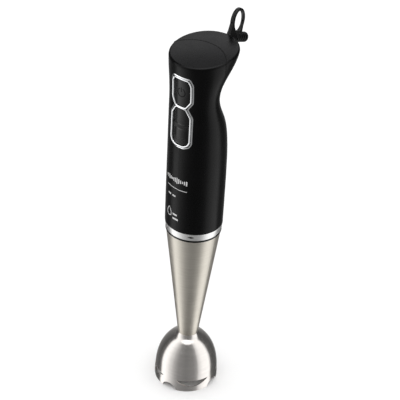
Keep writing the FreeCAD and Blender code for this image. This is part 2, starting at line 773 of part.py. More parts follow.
def motor_frame_lower():
    disc = ring(22.0, 8.0, 200.5, 205.0)
    boss = ring(11.0, 8.0, 196.0, 205.0)
    floor = ring(10.0, 3.2, 203.6, 205.0)
    window = sector(17.3, 12.5, 14.0, 199.0, 206.0)
    body = fuse([disc, boss, floor])
    holes = [cylinder(1.55, 199, 206, 0, side * MOTOR_BOLT_Y) for side in (-1, 1)]
    pilot = cylinder(1.25, 199, 203.5, 0, -NOSE_SCREW_RADIUS)
    return cut(body, repeated(window, 6) + holes + repeated(pilot, 3, NOSE_SCREW_AZIMUTH))


def motor_frame_upper():
    """Bridge over the stator, with the upper bearing seat and two brush arms."""
    low_z, high_z = UPPER_FRAME_Z, UPPER_FRAME_Z + 3.6
    disc = ring(21.4, 8.0, low_z, high_z)
    boss = ring(10.5, 8.0, low_z - 1.0, low_z + 5.6)
    cap = ring(9.0, 3.2, low_z + 4.6, low_z + 5.6)
    body = fuse([disc, boss, cap])
    for side in (-1, 1):
        low, high = sorted((side * 10.0, side * 19.5))
        arm = block(low, high, -5.6, 5.6, BRUSH_Z - 5.5, low_z + 0.5)
        body = body.fuse(arm)
    slot = block(-25, 25, -3.8, 3.8, BRUSH_Z - 3.8, BRUSH_Z + 3.8)
    holes = [cylinder(1.55, low_z - 1, high_z + 1, 0, side * MOTOR_BOLT_Y)
             for side in (-1, 1)]
    window = sector(19.0, 12.5, 12.0, low_z - 1, high_z + 1)
    windows = [turned(window, azimuth) for azimuth in (45, 135, 225, 315)]
    return cut(body, [slot] + holes + windows).removeSplitter()


def bearing(z_low, z_high):
    inner = ring(4.2, MOTOR_SHAFT_RADIUS + 0.03, z_low, z_high)
    outer = ring(8.0, 6.4, z_low, z_high)
    shield = ring(6.5, 4.1, z_low + 0.4, z_high - 0.4)
    return fuse([inner, outer, shield])


def brush_sets():
    holders, brushes, springs = [], [], []
    for side in (-1, 1):
        def along_x(start, stop, half):
            low, high = sorted((side * start, side * stop))
            return block(low, high, -half, half, BRUSH_Z - half, BRUSH_Z + half)
        holders.append(along_x(8.6, 20.5, 3.7).cut(along_x(8.0, 19.9, 2.9)))
        brushes.append(along_x(7.06, 15.5, 2.8))
        spring = Part.makeHelix(1.2, 3.6, 1.9)
        wire = Part.Wire(Part.Circle(vec(1.9, 0, 0), vec(0, 1, 0), 0.3).toShape())
        coil = Part.Wire(spring).makePipeShell([wire], True, True)
        coil.Placement = FreeCAD.Placement(
            vec(side * 15.85, 0, BRUSH_Z), FreeCAD.Rotation(vec(0, 0, 1), vec(side, 0, 0)))
        springs.append(coil)
    return holders, brushes, springs


def motor_bolts():
    bolts = []
    for side in (-1, 1):
        y = side * MOTOR_BOLT_Y
        bolt = vertical_screw(0, y, UPPER_FRAME_Z + 3.6, 200.5, 1.5, 2.4, 1.8)
        bolts.append(bolt)
    return bolts


def button_spring(stem_z):
    """Coil spring around a button's stem, between its flange and the switch."""
    path = Part.Wire(Part.makeHelix(0.85, 4.0, 2.9))
    section = Part.Wire(Part.Circle(vec(2.9, 0, 0), vec(0, 1, 0), 0.22).toShape())
    coil = path.makePipeShell([section], True, True)
    coil.Placement = FreeCAD.Placement(vec(0, -22.0, stem_z),
                                       FreeCAD.Rotation(vec(0, 0, 1), vec(0, 1, 0)))
    return coil


# ---- build -------------------------------------------------------------------

def build_handle():
    shell = handle_shell()
    save("main_housing", main_housing(shell))
    save("rear_cover", rear_cover(shell))
    save("button_bezel", button_bezel())
    save("collar_ring", collar_ring())
    save("lock_mark", lock_mark())
    save("nose", nose())
    save("nose_screws", *nose_screws())
    save("retaining_clip", retaining_clip())
    save("cord_bushing", cord_bushing())
    save("cord_clamp", cord_clamp())
    save("cord_clamp_screws", *cord_clamp_screws())
    save("switch_board", switch_board())
    save("micro_switches", *micro_switches())
    save("board_carrier", *board_posts())


def build_buttons():
    save("speed_button", button(upper_cell, SPEED_Z))
    save("speed_icon", *speed_icon())
    save("turbo_button", turbo_button())
    save("speed_spring", button_spring(SPEED_Z))
    save("turbo_spring", button_spring(TURBO_Z))


def build_motor():
    save("motor_frame_lower", motor_frame_lower())
    save("motor_frame_upper", motor_frame_upper())
    save("isolator_lower", ring(25.0, 22.0, 201.0, 204.5))
    save("isolator_upper", ring(24.6, STATOR_RADIUS, 257.0, 262.0))
    save("motor_bolts", *motor_bolts())
    save("stator_core", stator_core())
    save("field_coils", *field_coils())
    save("lower_bearing", bearing(198.0, 203.5))
    save("upper_bearing", bearing(UPPER_FRAME_Z - 0.9, UPPER_FRAME_Z + 4.6))
    holders, brushes, springs = brush_sets()
    save("brush_holders", *holders)
    save("carbon_brushes", *brushes)
    save("brush_springs", *springs)


def build_rotor():
    save("motor_shaft", cylinder(MOTOR_SHAFT_RADIUS, 169.0, UPPER_FRAME_Z + 4.6))
    save("armature_core", armature_core())
    save("armature_windings", armature_windings())
    save("commutator", commutator())
    save("cooling_fan", cooling_fan())
    save("drive_dog", dog(168.4, 178.0, 162.0, 168.4, MOTOR_SHAFT_RADIUS, 0))


def build_shaft():
    save("gasket_ring", ring(RING_BOTTOM_RADIUS - 0.35, 17.65, GASKET_BOTTOM_Z,
                             RING_BOTTOM_Z - 0.1))
    save("shaft_tube", shaft_tube())
    save("bell_guard", bell_guard())
    save("shaft_socket", shaft_socket())
    save("upper_bush", bush(145.0, SOCKET_FLOOR_TOP_Z))
    save("bush_housing", bush_housing())
    save("lower_bush", bush(44.0, 62.0))
    save("shaft_seal", shaft_seal())


def build_drive():
    save("drive_shaft", drive_shaft())
    save("driven_dog", dog(156.6, 161.6, 161.6, 167.8, DRIVE_SHAFT_RADIUS, 90))
    save("blade", blade())
    save("blade_hub", blade_hub())
    save("blade_nut", blade_nut())


os.makedirs("parts", exist_ok=True)
build_handle()
build_buttons()
build_motor()
build_rotor()
build_shaft()
build_drive()
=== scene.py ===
import json
import math

import bmesh
import bpy
import numpy as np
from mathutils import Matrix, Vector


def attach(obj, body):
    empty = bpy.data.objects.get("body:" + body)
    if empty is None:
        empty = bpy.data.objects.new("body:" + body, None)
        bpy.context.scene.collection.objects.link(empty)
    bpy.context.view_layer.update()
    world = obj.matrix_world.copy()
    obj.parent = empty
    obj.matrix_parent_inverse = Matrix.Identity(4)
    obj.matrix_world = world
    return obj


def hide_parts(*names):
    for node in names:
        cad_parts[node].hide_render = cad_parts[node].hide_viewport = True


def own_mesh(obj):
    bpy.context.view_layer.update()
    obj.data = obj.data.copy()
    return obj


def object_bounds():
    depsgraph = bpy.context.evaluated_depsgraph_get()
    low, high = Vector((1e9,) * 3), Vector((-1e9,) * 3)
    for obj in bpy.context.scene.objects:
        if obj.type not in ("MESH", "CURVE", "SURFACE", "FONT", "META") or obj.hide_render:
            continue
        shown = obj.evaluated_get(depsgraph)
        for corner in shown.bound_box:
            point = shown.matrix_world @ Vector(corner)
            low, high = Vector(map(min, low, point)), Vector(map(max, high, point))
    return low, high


# Looks of the immersion blender. New pieces are worked out in millimetres, and make_piece
# turns them into metres. The camera, the lamps and the floor are in metres.
MM = 0.001

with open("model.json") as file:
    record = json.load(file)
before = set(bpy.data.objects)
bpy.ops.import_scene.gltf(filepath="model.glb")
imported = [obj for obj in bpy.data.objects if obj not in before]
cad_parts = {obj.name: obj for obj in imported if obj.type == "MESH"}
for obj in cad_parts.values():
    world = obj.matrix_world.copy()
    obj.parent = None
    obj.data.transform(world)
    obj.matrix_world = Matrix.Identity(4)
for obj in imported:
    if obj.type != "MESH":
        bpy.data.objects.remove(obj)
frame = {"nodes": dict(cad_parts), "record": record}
cad_low, cad_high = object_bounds()


# ---- material helpers --------------------------------------------------------

class Graph:
    """A node tree under construction, with short calls for the usual nodes."""

    def __init__(self, tree):
        self.tree = tree
        self.nodes = tree.nodes
        self.nodes.clear()

    def add(self, kind, inputs=None, **settings):
        node = self.nodes.new(kind)
        for name, value in settings.items():
            setattr(node, name, value)
        for name, value in (inputs or {}).items():
            socket = node.inputs[name]
            if isinstance(value, bpy.types.NodeSocket):
                self.tree.links.new(value, socket)
            else:
                socket.default_value = value
        return node

    def math(self, operation, first, second=0.0, third=0.0):
        inputs = {0: first, 1: second, 2: third}
        return self.add("ShaderNodeMath", inputs, operation=operation).outputs[0]

    def noise(self, vector, scale, detail=3.0, roughness=0.55):
        inputs = {"Vector": vector, "Scale": scale, "Detail": detail, "Roughness": roughness}
        return self.add("ShaderNodeTexNoise", inputs).outputs["Fac"]

    def spread(self, value, low, high, from_low=0.3, from_high=0.7):
        inputs = {"Value": value, "From Min": from_low, "From Max": from_high,
                  "To Min": low, "To Max": high}
        return self.add("ShaderNodeMapRange", inputs).outputs["Result"]

    def mix(self, share, first, second):
        inputs = {"Factor": share, 6: first, 7: second}
        return self.add("ShaderNodeMix", inputs, data_type="RGBA").outputs[2]

    def ramp(self, value, stops):
        node = self.add("ShaderNodeValToRGB", {"Fac": value})
        ramp = node.color_ramp
        ramp.interpolation = "LINEAR"
        while len(ramp.elements) < len(stops):
            ramp.elements.new(0.5)
        for element, (position, colour) in zip(ramp.elements, stops):
            element.position = position
            element.color = colour
        return node.outputs["Color"]


def colour(r, g, b):
    return (r, g, b, 1.0)


def new_material(name):
    material = bpy.data.materials.new(name)
    material.use_nodes = True
    graph = Graph(material.node_tree)
    surface = graph.add("ShaderNodeBsdfPrincipled")
    graph.add("ShaderNodeOutputMaterial", {"Surface": surface.outputs["BSDF"]})
    place = graph.add("ShaderNodeTexCoord").outputs["Object"]
    return material, graph, surface, place


def connect(graph, surface, **inputs):
    for name, value in inputs.items():
        socket = surface.inputs[name.replace("_", " ")]
        if isinstance(value, bpy.types.NodeSocket):
            graph.tree.links.new(value, socket)
        else:
            socket.default_value = value


def bump(graph, surface, height, strength, distance):
    inputs = {"Height": height, "Strength": strength, "Distance": distance}
    node = graph.add("ShaderNodeBump", inputs)
    graph.tree.links.new(node.outputs["Normal"], surface.inputs["Normal"])


def moulded(name, dark, light, rough_low, rough_high, grain_mm, grain_depth, specular=0.5):
    """Moulded plastic or rubber: fine grain, cloudy gloss, a few fine rub marks."""
    material, graph, surface, place = new_material(name)
    cloud = graph.noise(place, 45.0, 4.0)
    grain = graph.noise(place, 1.0 / (grain_mm * MM), 2.0, 0.5)
    wear = graph.noise(place, 420.0, 6.0, 0.7)
    shade = graph.mix(graph.spread(cloud, 0.0, 1.0), dark, light)
    worn = graph.spread(wear, -0.03, 0.05)
    rough = graph.math("ADD", graph.spread(cloud, rough_low, rough_high), worn)
    connect(graph, surface, Base_Color=shade, Roughness=rough)
    connect(graph, surface, Specular_IOR_Level=specular)
    bump(graph, surface, grain, 0.5, grain_depth * MM)
    return material


def ring_direction(graph, place, around, along):
    """Coordinates for marks that run around the drive axis, with no seam."""
    parts = graph.add("ShaderNodeSeparateXYZ", {"Vector": place}).outputs
    across = graph.add("ShaderNodeCombineXYZ", {"X": parts["X"], "Y": parts["Y"]}).outputs[0]
    unit = graph.add("ShaderNodeVectorMath", {0: across}, operation="NORMALIZE").outputs[0]
    turned = graph.add("ShaderNodeVectorMath", {0: unit, "Scale": around}, operation="SCALE")
    height = graph.math("MULTIPLY", parts["Z"], along)
    lift = graph.add("ShaderNodeCombineXYZ", {"Z": height}).outputs[0]
    return graph.add("ShaderNodeVectorMath", {0: turned.outputs[0], 1: lift},
                     operation="ADD").outputs[0]


def spun_metal(name, dark, light, rough_low, rough_high, line_mm, depth_mm, anisotropic=0.0):
    """Metal brushed or polished around the drive axis."""
    material, graph, surface, place = new_material(name)
    fine = graph.noise(ring_direction(graph, place, 2.2, 1 / (line_mm * MM)), 1.0, 4.0, 0.6)
    broad = graph.noise(ring_direction(graph, place, 1.1, 0.12 / (line_mm * MM)), 1.0, 3.0)
    cloud = graph.noise(place, 60.0, 3.0)
    lines = graph.math("MULTIPLY_ADD", broad, 0.5, graph.math("MULTIPLY", fine, 0.5))
    shade = graph.mix(graph.spread(lines, 0.0, 1.0), dark, light)
    rough = graph.math("ADD", graph.spread(lines, rough_low, rough_high),
                       graph.spread(cloud, -0.02, 0.02))
    connect(graph, surface, Base_Color=shade, Roughness=rough, Metallic=1.0)
    if anisotropic:
        connect(graph, surface, Anisotropic=anisotropic)
    bump(graph, surface, fine, 0.35, depth_mm * MM)
    return material


def plain_metal(name, dark, light, rough_low, rough_high, grain_mm, depth_mm):
    """Chrome, castings, screws: soft clouding and a fine grain or polish marks."""
    material, graph, surface, place = new_material(name)
    cloud = graph.noise(place, 160.0, 4.0)
    grain = graph.noise(place, 1.0 / (grain_mm * MM), 3.0, 0.6)
    shade = graph.mix(graph.spread(cloud, 0.0, 1.0), dark, light)
    rough = graph.spread(grain, rough_low, rough_high)
    connect(graph, surface, Base_Color=shade, Roughness=rough, Metallic=1.0)
    bump(graph, surface, grain, 0.3, depth_mm * MM)
    return material


def striped_metal(name, dark, light, pitch_mm, rough):
    """Stacked laminations or wound wire: fine lines across the drive axis."""
    material, graph, surface, place = new_material(name)
    height = graph.add("ShaderNodeSeparateXYZ", {"Vector": place}).outputs["Z"]
    wave = graph.math("SINE", graph.math("MULTIPLY", height, 2 * math.pi / (pitch_mm * MM)))
    line = graph.spread(wave, 0.0, 1.0, -1.0, 1.0)
    cloud = graph.noise(place, 300.0, 3.0)
    share = graph.math("MULTIPLY", line, graph.spread(cloud, 0.7, 1.0))
    connect(graph, surface, Base_Color=graph.mix(share, dark, light), Metallic=0.8,
            Roughness=graph.spread(cloud, rough, rough + 0.12))
    bump(graph, surface, line, 0.5, 0.08 * MM)
    return material


# The look of each material slot in the record, and two more for raised and printed marks.
SLOT_MATERIALS = {
    "handle_plastic": moulded("satin_black", colour(0.0004, 0.0004, 0.0005),
                              colour(0.0010, 0.0010, 0.0011), 0.25, 0.31, 0.22, 0.006, 0.14),
    "button_plastic": moulded("grained_button", colour(0.0006, 0.0006, 0.0007),
                              colour(0.0030, 0.0029, 0.0030), 0.20, 0.30, 0.30, 0.015, 0.34),
    "bezel_chrome": plain_metal("bright_chrome", colour(0.86, 0.87, 0.88),
                                colour(0.93, 0.94, 0.95), 0.05, 0.10, 0.5, 0.002),
    "ring_steel": spun_metal("ring_steel", colour(0.78, 0.78, 0.77),
                             colour(0.88, 0.88, 0.87), 0.30, 0.40, 0.12, 0.002),
    "mark_ink": moulded("dark_ink", colour(0.010, 0.012, 0.006), colour(0.016, 0.018, 0.010),
                        0.45, 0.6, 0.2, 0.01),
    "tube_steel": spun_metal("brushed_tube", colour(0.54, 0.505, 0.44),
                             colour(0.70, 0.665, 0.595), 0.30, 0.42, 0.14, 0.003, 0.3),
    "bell_steel": spun_metal("polished_bell", colour(0.64, 0.61, 0.585),
                             colour(0.76, 0.73, 0.70), 0.12, 0.19, 0.20, 0.0015, 0.2),
    "blade_steel": plain_metal("ground_blade", colour(0.50, 0.50, 0.50),
                               colour(0.66, 0.66, 0.66), 0.20, 0.34, 0.25, 0.01),
    "black_rubber": moulded("glossy_rubber", colour(0.0005, 0.0005, 0.0006),
                            colour(0.0012, 0.0012, 0.0013), 0.10, 0.16, 0.35, 0.004, 0.3),
    "inner_plastic": moulded("glass_filled_nylon", colour(0.030, 0.030, 0.032),
                             colour(0.055, 0.055, 0.058), 0.5, 0.62, 0.4, 0.05),
    "screw_steel": plain_metal("zinc_screw", colour(0.48, 0.48, 0.46),
                               colour(0.62, 0.62, 0.60), 0.28, 0.4, 0.3, 0.01),
    "cast_frame": plain_metal("die_cast", colour(0.50, 0.51, 0.52),
                              colour(0.64, 0.65, 0.66), 0.42, 0.56, 0.5, 0.04),
    "lamination": striped_metal("laminations", colour(0.10, 0.10, 0.11),
                                colour(0.32, 0.32, 0.34), 0.5, 0.4),
    "copper": striped_metal("enamelled_copper", colour(0.28, 0.10, 0.04),
                            colour(0.72, 0.36, 0.18), 0.6, 0.25),
    "shaft_steel": plain_metal("ground_shaft", colour(0.50, 0.50, 0.50),
                               colour(0.66, 0.66, 0.66), 0.14, 0.24, 0.2, 0.004),
    "bronze": plain_metal("sintered_bronze", colour(0.42, 0.30, 0.14),
                          colour(0.58, 0.44, 0.24), 0.34, 0.46, 0.3, 0.02),
    "carbon": moulded("graphite", colour(0.02, 0.02, 0.02), colour(0.05, 0.05, 0.05),
                      0.4, 0.55, 0.2, 0.02),
    "board": moulded("circuit_board", colour(0.012, 0.09, 0.035), colour(0.03, 0.16, 0.07),
                     0.25, 0.4, 0.6, 0.01),
    "icon_face": moulded("icon_face", colour(0.0006, 0.0006, 0.0006),
                         colour(0.0014, 0.0014, 0.0014), 0.40, 0.50, 0.2, 0.01, 0.10),
    "print_ink": moulded("print_ink", colour(0.62, 0.62, 0.62), colour(0.72, 0.72, 0.72),
                         0.40, 0.50, 0.2, 0.01),
    "switch_case": moulded("switch_case", colour(0.02, 0.02, 0.022),
                           colour(0.035, 0.035, 0.038), 0.4, 0.5, 0.3, 0.02),
}


def dress_cad_nodes():
    """Every CAD node gets the material of the slot that the record gives it."""
    for subpart in frame["record"]["subparts"]:
        node = frame["nodes"][subpart["node"]]
        node.data.materials.clear()
        node.data.materials.append(SLOT_MATERIALS[subpart["material_slot"]])


dress_cad_nodes()


# ---- handle surface, from the same driving numbers as the design --------------

# Height, then reach to the front, to each side and to the rear, in millimetres.
HANDLE_LINE = np.array((
    (194.0, 27.8, 27.8, 27.6), (240.0, 28.0, 28.0, 27.6), (270.0, 28.0, 27.9, 27.0),
    (288.0, 28.0, 27.6, 25.2), (302.0, 28.0, 27.1, 22.2), (315.0, 28.0, 25.9, 16.7),
    (326.0, 28.0, 24.8, 11.2), (334.0, 28.0, 24.5, 10.0), (341.0, 28.1, 24.9, 10.8),
    (350.0, 28.6, 26.5, 15.0), (360.0, 29.6, 28.6, 23.8), (370.0, 30.7, 30.0, 32.8),
    (384.0, 31.9, 31.0, 39.0)))
TOP_DOME_RADIUS = 320.0
TOP_DOME_POINT = np.array((0.0, 3.3, 376.0))
TOP_SLOPE = 0.10

BARREL_RADIUS = 28.2          # round face that the bezel and buttons follow
BARREL_BLEND = 0.04           # how softly that face gives way to a skin further out


def line_slopes(heights, values):
    steps = np.diff(values) / np.diff(heights)
    inner = np.zeros(len(steps) - 1)
    agree = steps[:-1] * steps[1:] > 0
    both = steps[:-1][agree] * steps[1:][agree]
    inner[agree] = 2 * both / (steps[:-1][agree] + steps[1:][agree])
    return np.concatenate(([steps[0]], inner, [steps[-1]]))


def handle_reach(z, column):
    """Reach of the handle at these heights, a smooth line that never overshoots."""
    heights, values = HANDLE_LINE[:, 0], HANDLE_LINE[:, column]
    slopes = line_slopes(heights, values)
    i = np.clip(np.searchsorted(heights, z, side="right") - 1, 0, len(heights) - 2)
    width = heights[i + 1] - heights[i]
    t = (z - heights[i]) / width
    rise = values[i + 1] - values[i]
    low = slopes[i] * width - rise
    high = rise - slopes[i + 1] * width
    return values[i] + t * rise + t * (1 - t) * ((1 - t) * low + t * high)


def dome_height(x, y):
    """Height of the handle's crowned top over a point in plan."""
    tilt = np.array((0.0, -TOP_SLOPE, 1.0)) / math.hypot(1.0, TOP_SLOPE)
    centre = TOP_DOME_POINT - tilt * TOP_DOME_RADIUS
    return centre[2] + np.sqrt(TOP_DOME_RADIUS ** 2 - (x - centre[0]) ** 2
                               - (y - centre[1]) ** 2)


def front_point(x, z, lift=0.0):
    """Point on the handle's front, this far out from its skin; all in millimetres."""
    front, side, rear = (handle_reach(z, column) for column in (1, 2, 3))
    depth = (rear + front) / 2
    share = np.sqrt(np.maximum(0.0, 1 - (x / side) ** 2))
    y = (rear - front) / 2 - depth * share
    out_x, out_y = x / side ** 2, -share / depth
    size = np.hypot(out_x, out_y)
    return np.stack((x + lift * out_x / size, y + lift * out_y / size, z + 0 * x), -1)


def barrel_point(x, z, lift=0.0):
    """Point on the barrel that the bezel and buttons follow, or the skin if further out."""
    barrel = -np.sqrt(BARREL_RADIUS ** 2 - x ** 2)
    gap = front_point(x, z)[..., 1] - barrel
    y = barrel + 0.5 * (gap - np.sqrt(gap * gap + BARREL_BLEND))
    stretch = 1 + lift / np.hypot(x, y)
    return np.stack((x * stretch, y * stretch, z + 0 * x), -1)


# ---- mesh helpers ------------------------------------------------------------

def make_piece(name, points_mm, faces, material, body, replaces=(), sharp=35.0):
    """A new mesh object from points in millimetres, riding on a CAD body."""
    mesh = bpy.data.meshes.new(name)
    mesh.from_pydata((np.asarray(points_mm) * MM).tolist(), [], faces)
    work = bmesh.new()
    work.from_mesh(mesh)
    bmesh.ops.remove_doubles(work, verts=work.verts, dist=0.000002)
    bmesh.ops.recalc_face_normals(work, faces=work.faces)
    shade(work, sharp)
    work.to_mesh(mesh)
    work.free()
    mesh.materials.append(material)
    piece = bpy.data.objects.new(name, mesh)
    bpy.context.scene.collection.objects.link(piece)
    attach(piece, body)
    if replaces:
        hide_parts(*replaces)
    return piece


def shade(work, sharp):
    """Smooth shading, with a crease where faces meet at more than this angle."""
    limit = math.radians(sharp)
    for face in work.faces:
        face.smooth = True
    for edge in work.edges:
        edge.smooth = len(edge.link_faces) != 2 or edge.calc_face_angle(0.0) < limit


def grid_faces(rows, columns, wrap_columns, wrap_rows=False):
    """Quads over a grid of points numbered row by row."""
    faces = []
    for i in range(rows if wrap_rows else rows - 1):
        below, above = i * columns, (i + 1) % rows * columns
        for j in range(columns if wrap_columns else columns - 1):
            k = (j + 1) % columns
            faces.append((below + j, below + k, above + k, above + j))
    return faces


def lathe(name, profile, material, body, replaces=(), segments=160):
    """Solid of revolution from a closed chain of (radius, height) points."""
    angles = np.linspace(0, 2 * np.pi, segments, endpoint=False)
    rings = [np.stack((r * np.cos(angles), r * np.sin(angles), z + 0 * angles), -1)
             for r, z in profile]
    faces = grid_faces(len(profile), segments, True, True)
    return make_piece(name, np.concatenate(rings), faces, material, body, replaces)


def rounded_loop(corners, rounding, steps=6, spacing=1.0):
    """Closed path with its corners eased and its long sides divided."""
    corners = np.asarray(corners, float)
    path = []
    for i, corner in enumerate(corners):
        ends = []
        for other in (corners[i - 1], corners[(i + 1) % len(corners)]):
            away = other - corner
            length = np.linalg.norm(away)
            ends.append(corner + away / length * min(rounding, 0.45 * length))
        for t in np.linspace(0, 1, steps):
            path.append((1 - t) ** 2 * ends[0] + 2 * t * (1 - t) * corner + t * t * ends[1])
    divided = []
    for start, stop in zip(path, path[1:] + path[:1]):
        count = max(1, round(np.linalg.norm(stop - start) / spacing))
        divided += [start + (stop - start) * k / count for k in range(count)]
    return np.array(divided)


def path_normals(path, closed):
    ahead = np.roll(path, -1, 0) - np.roll(path, 1, 0)
    if not closed:
        ahead[0], ahead[-1] = path[1] - path[0], path[-1] - path[-2]
    ahead /= np.linalg.norm(ahead, axis=1)[:, None]
    normals = np.stack((ahead[:, 1], -ahead[:, 0]), -1)
    area = np.sum(path[:, 0] * np.roll(path[:, 1], -1) - np.roll(path[:, 0], -1) * path[:, 1])
    return normals if area > 0 or not closed else -normals


def moulding(name, path, section, place, material, body, replaces=(), closed=True):
    """A closed section of (offset, lift) points swept along a path on a surface."""
    normals = path_normals(path, closed)
    rows = []
    for offset, lift in section:
        spot = path + offset * normals
        rows.append(place(spot[:, 0], spot[:, 1], lift))
    points = np.stack(rows, 1).reshape(-1, 3)
    faces = grid_faces(len(path), len(section), True, closed)
    if not closed:
        last = (len(path) - 1) * len(section)
        faces.append(tuple(range(len(section) - 1, -1, -1)))
        faces.append(tuple(range(last, last + len(section))))
    return make_piece(name, points, faces, material, body, replaces, 50.0)


def bead_section(width, low, high, foot, steps=10):
    """Half-round bead: feet at foot, shoulders at low, crown at high."""
    section = [(0.0, foot)]
    for angle in np.linspace(0, math.pi, steps):
        section.append((width / 2 * (1 - math.cos(angle)),
                        low + (high - low) * math.sin(angle)))
    return section + [(width, foot)]


# ---- bezel and buttons -------------------------------------------------------

RIDGE = 1.7
UPPER_TOP, WAIST, LOWER_BOTTOM = 358.3, 328.6, 288.0
SPEED_Z, TURBO_Z = 343.4, 307.0    # heights of the buttons' stems and springs


def mirrored(half):
    return [*half, *[(-x, z) for x, z in reversed(half)]]


def upper_cell(inset):
    """Right-hand half of the upper window's outline, drawn in by the inset."""
    side, top, bottom = 11.0 - RIDGE - inset, UPPER_TOP - RIDGE - inset, WAIST + 1.1 + inset
    return [(side - 2.0, top), (side, top - 4.2), (side, 336.0 - 0.4 * inset),
            (5.0 - 0.6 * inset, bottom)]


def lower_cell(inset):
    """Right-hand half of the lower window's outline, drawn in by the inset."""
    side, top, bottom = 11.2 - RIDGE - inset, WAIST - 1.1 - inset, LOWER_BOTTOM + RIDGE + inset
    return [(5.0 - 0.6 * inset, top), (side, 319.8 + 0.4 * inset),
            (side, 294.6 + 0.4 * inset), (side - 1.7, bottom + 1.8),
            (4.2 - 0.4 * inset, bottom)]


def ridge_outline(grow):
    """Right-hand half of the outline round both windows, grown outwards."""
    flat = 0.5 * grow
    return [(8.7 + flat, UPPER_TOP + grow), (11.0 + grow, 353.6 + flat),
            (11.0 + grow, 335.6 - flat), (6.6 + grow, WAIST),
            (11.2 + grow, 320.2 + flat), (11.2 + grow, 293.8 - flat),
            (9.4 + flat, 290.0 - flat), (4.6 + flat, LOWER_BOTTOM - grow)]


def build_bezel():
    """Two bright beads round the windows, a dark channel, and a flat outer lip."""
    chrome = SLOT_MATERIALS["bezel_chrome"]
    bed = SLOT_MATERIALS["handle_plastic"]
    for name, cell in (("bezel_bead_upper", upper_cell), ("bezel_bead_lower", lower_cell)):
        path = rounded_loop(mirrored(cell(0.0)), 1.2)
        section = [(0.0, -1.6), (0.0, 0.55), (0.08, 0.72), (0.72, 0.98), (0.82, 0.99),
                   (0.92, 0.95), (1.32, 0.74), (1.38, 0.66), (1.38, -1.6)]
        moulding(name, path, section, barrel_point, chrome, "handle")
    lip_path = rounded_loop(mirrored(ridge_outline(0.2)), 1.0)
    lip_section = [(0.0, -2.4), (0.0, 0.50), (1.05, 0.12), (1.05, -2.4)]
    moulding("bezel_lip", lip_path, lip_section, barrel_point, chrome, "handle",
             ["button_bezel"])
    for name, cell in (("bezel_bed_upper", upper_cell), ("bezel_bed_lower", lower_cell)):
        path = rounded_loop(mirrored(cell(0.0)), 1.2)
        section = [(0.15, -2.8), (0.15, -0.1), (2.0, -0.1), (2.6, -0.5), (2.6, -2.8)]
        moulding(name, path, section, barrel_point, bed, "handle")


def half_width(half, z):
    """Half width of a mirrored outline at a height, from its right-hand chain."""
    chain = sorted((zz, x) for x, zz in half)
    return np.interp(z, [zz for zz, x in chain], [x for zz, x in chain])


def edge_distance(half, x, z):
    """Distance in from the nearest side of a convex mirrored outline."""
    corners = mirrored(half)
    nearest = np.full(np.shape(x), 1e9)
    for (x0, z0), (x1, z1) in zip(corners, corners[1:] + corners[:1]):
        length = math.hypot(x1 - x0, z1 - z0)
        away = np.abs((x1 - x0) * (z - z0) - (z1 - z0) * (x - x0)) / length
        nearest = np.minimum(nearest, away)
    return nearest


def slab(half, outer, inner, rows, columns):
    """Closed solid over a mirrored outline, between two surfaces of (x, z)."""
    z_low, z_high = half[-1][1], half[0][1]
    even = np.linspace(0, 1, rows)
    z = (0.6 * even + 0.2 * (1 - np.cos(math.pi * even))) * (z_high - z_low) + z_low
    even = np.linspace(-1, 1, columns)
    across = 0.5 * np.sin(even * math.pi / 2) + 0.5 * even
    zz, ss = np.meshgrid(z, across, indexing="ij")
    xx = ss * half_width(half, zz)
    points = np.concatenate((outer(xx, zz).reshape(-1, 3), inner(xx, zz).reshape(-1, 3)))
    count = rows * columns
    front = grid_faces(rows, columns, False)
    faces = front + [tuple(count + k for k in reversed(face)) for face in front]
    index = np.arange(count).reshape(rows, columns)
    border = [*index[0, :], *index[1:, -1], *index[-1, -2::-1], *index[-2:0:-1, 0]]
    for here, after in zip(border, border[1:] + border[:1]):
        faces.append((here, here + count, after + count, after))
    return points, faces


def round_stem(z, radius, y_from, y_to, segments=24):
    angles = np.linspace(0, 2 * np.pi, segments, endpoint=False)
    ring = [np.stack((radius * np.cos(angles), y + 0 * angles, z + radius * np.sin(angles)), -1)
            for y in (y_from, y_to)]
    faces = grid_faces(2, segments, True)
    faces += [tuple(range(segments)), tuple(range(2 * segments - 1, segments - 1, -1))]
    return np.concatenate(ring), faces


def cylinder_face(radius):
    return lambda x, z: np.stack((x, -np.sqrt(radius ** 2 - x ** 2), z + 0 * x), -1)


def build_button(name, cell, relief, stem_z, body, replaces):
    """Cap with eased edges and a shaped face, its flange and its stem."""
    half = cell(0.6)

    def face(x, z):
        inward = np.clip(edge_distance(half, x, z) / 0.9, 0, 1)
        drop = 0.75 * (1 - np.sqrt(1 - (1 - inward) ** 2))
        return barrel_point(x, z, 0.25 - 0.012 * x * x - drop + relief(x, z))

    solids = [slab(half, face, cylinder_face(22.8), 130, 48),
              slab(cell(-0.8), cylinder_face(24.9), cylinder_face(23.3), 24, 16),
              round_stem(stem_z, 2.0, -24.0, -20.6)]
    points, faces = [], []
    for solid_points, solid_faces in solids:
        base = len(points)
        points.extend(solid_points.tolist())
        faces.extend(tuple(int(base + k) for k in face_) for face_ in solid_faces)
    return make_piece(name, points, faces, SLOT_MATERIALS["button_plastic"], body,
                      replaces, 50.0)


def speed_relief(x, z):
    """Shallow thumb dish."""
    return -0.35 * np.exp(-((x / 6.0) ** 2 + ((z - SPEED_Z) / 8.5) ** 2))


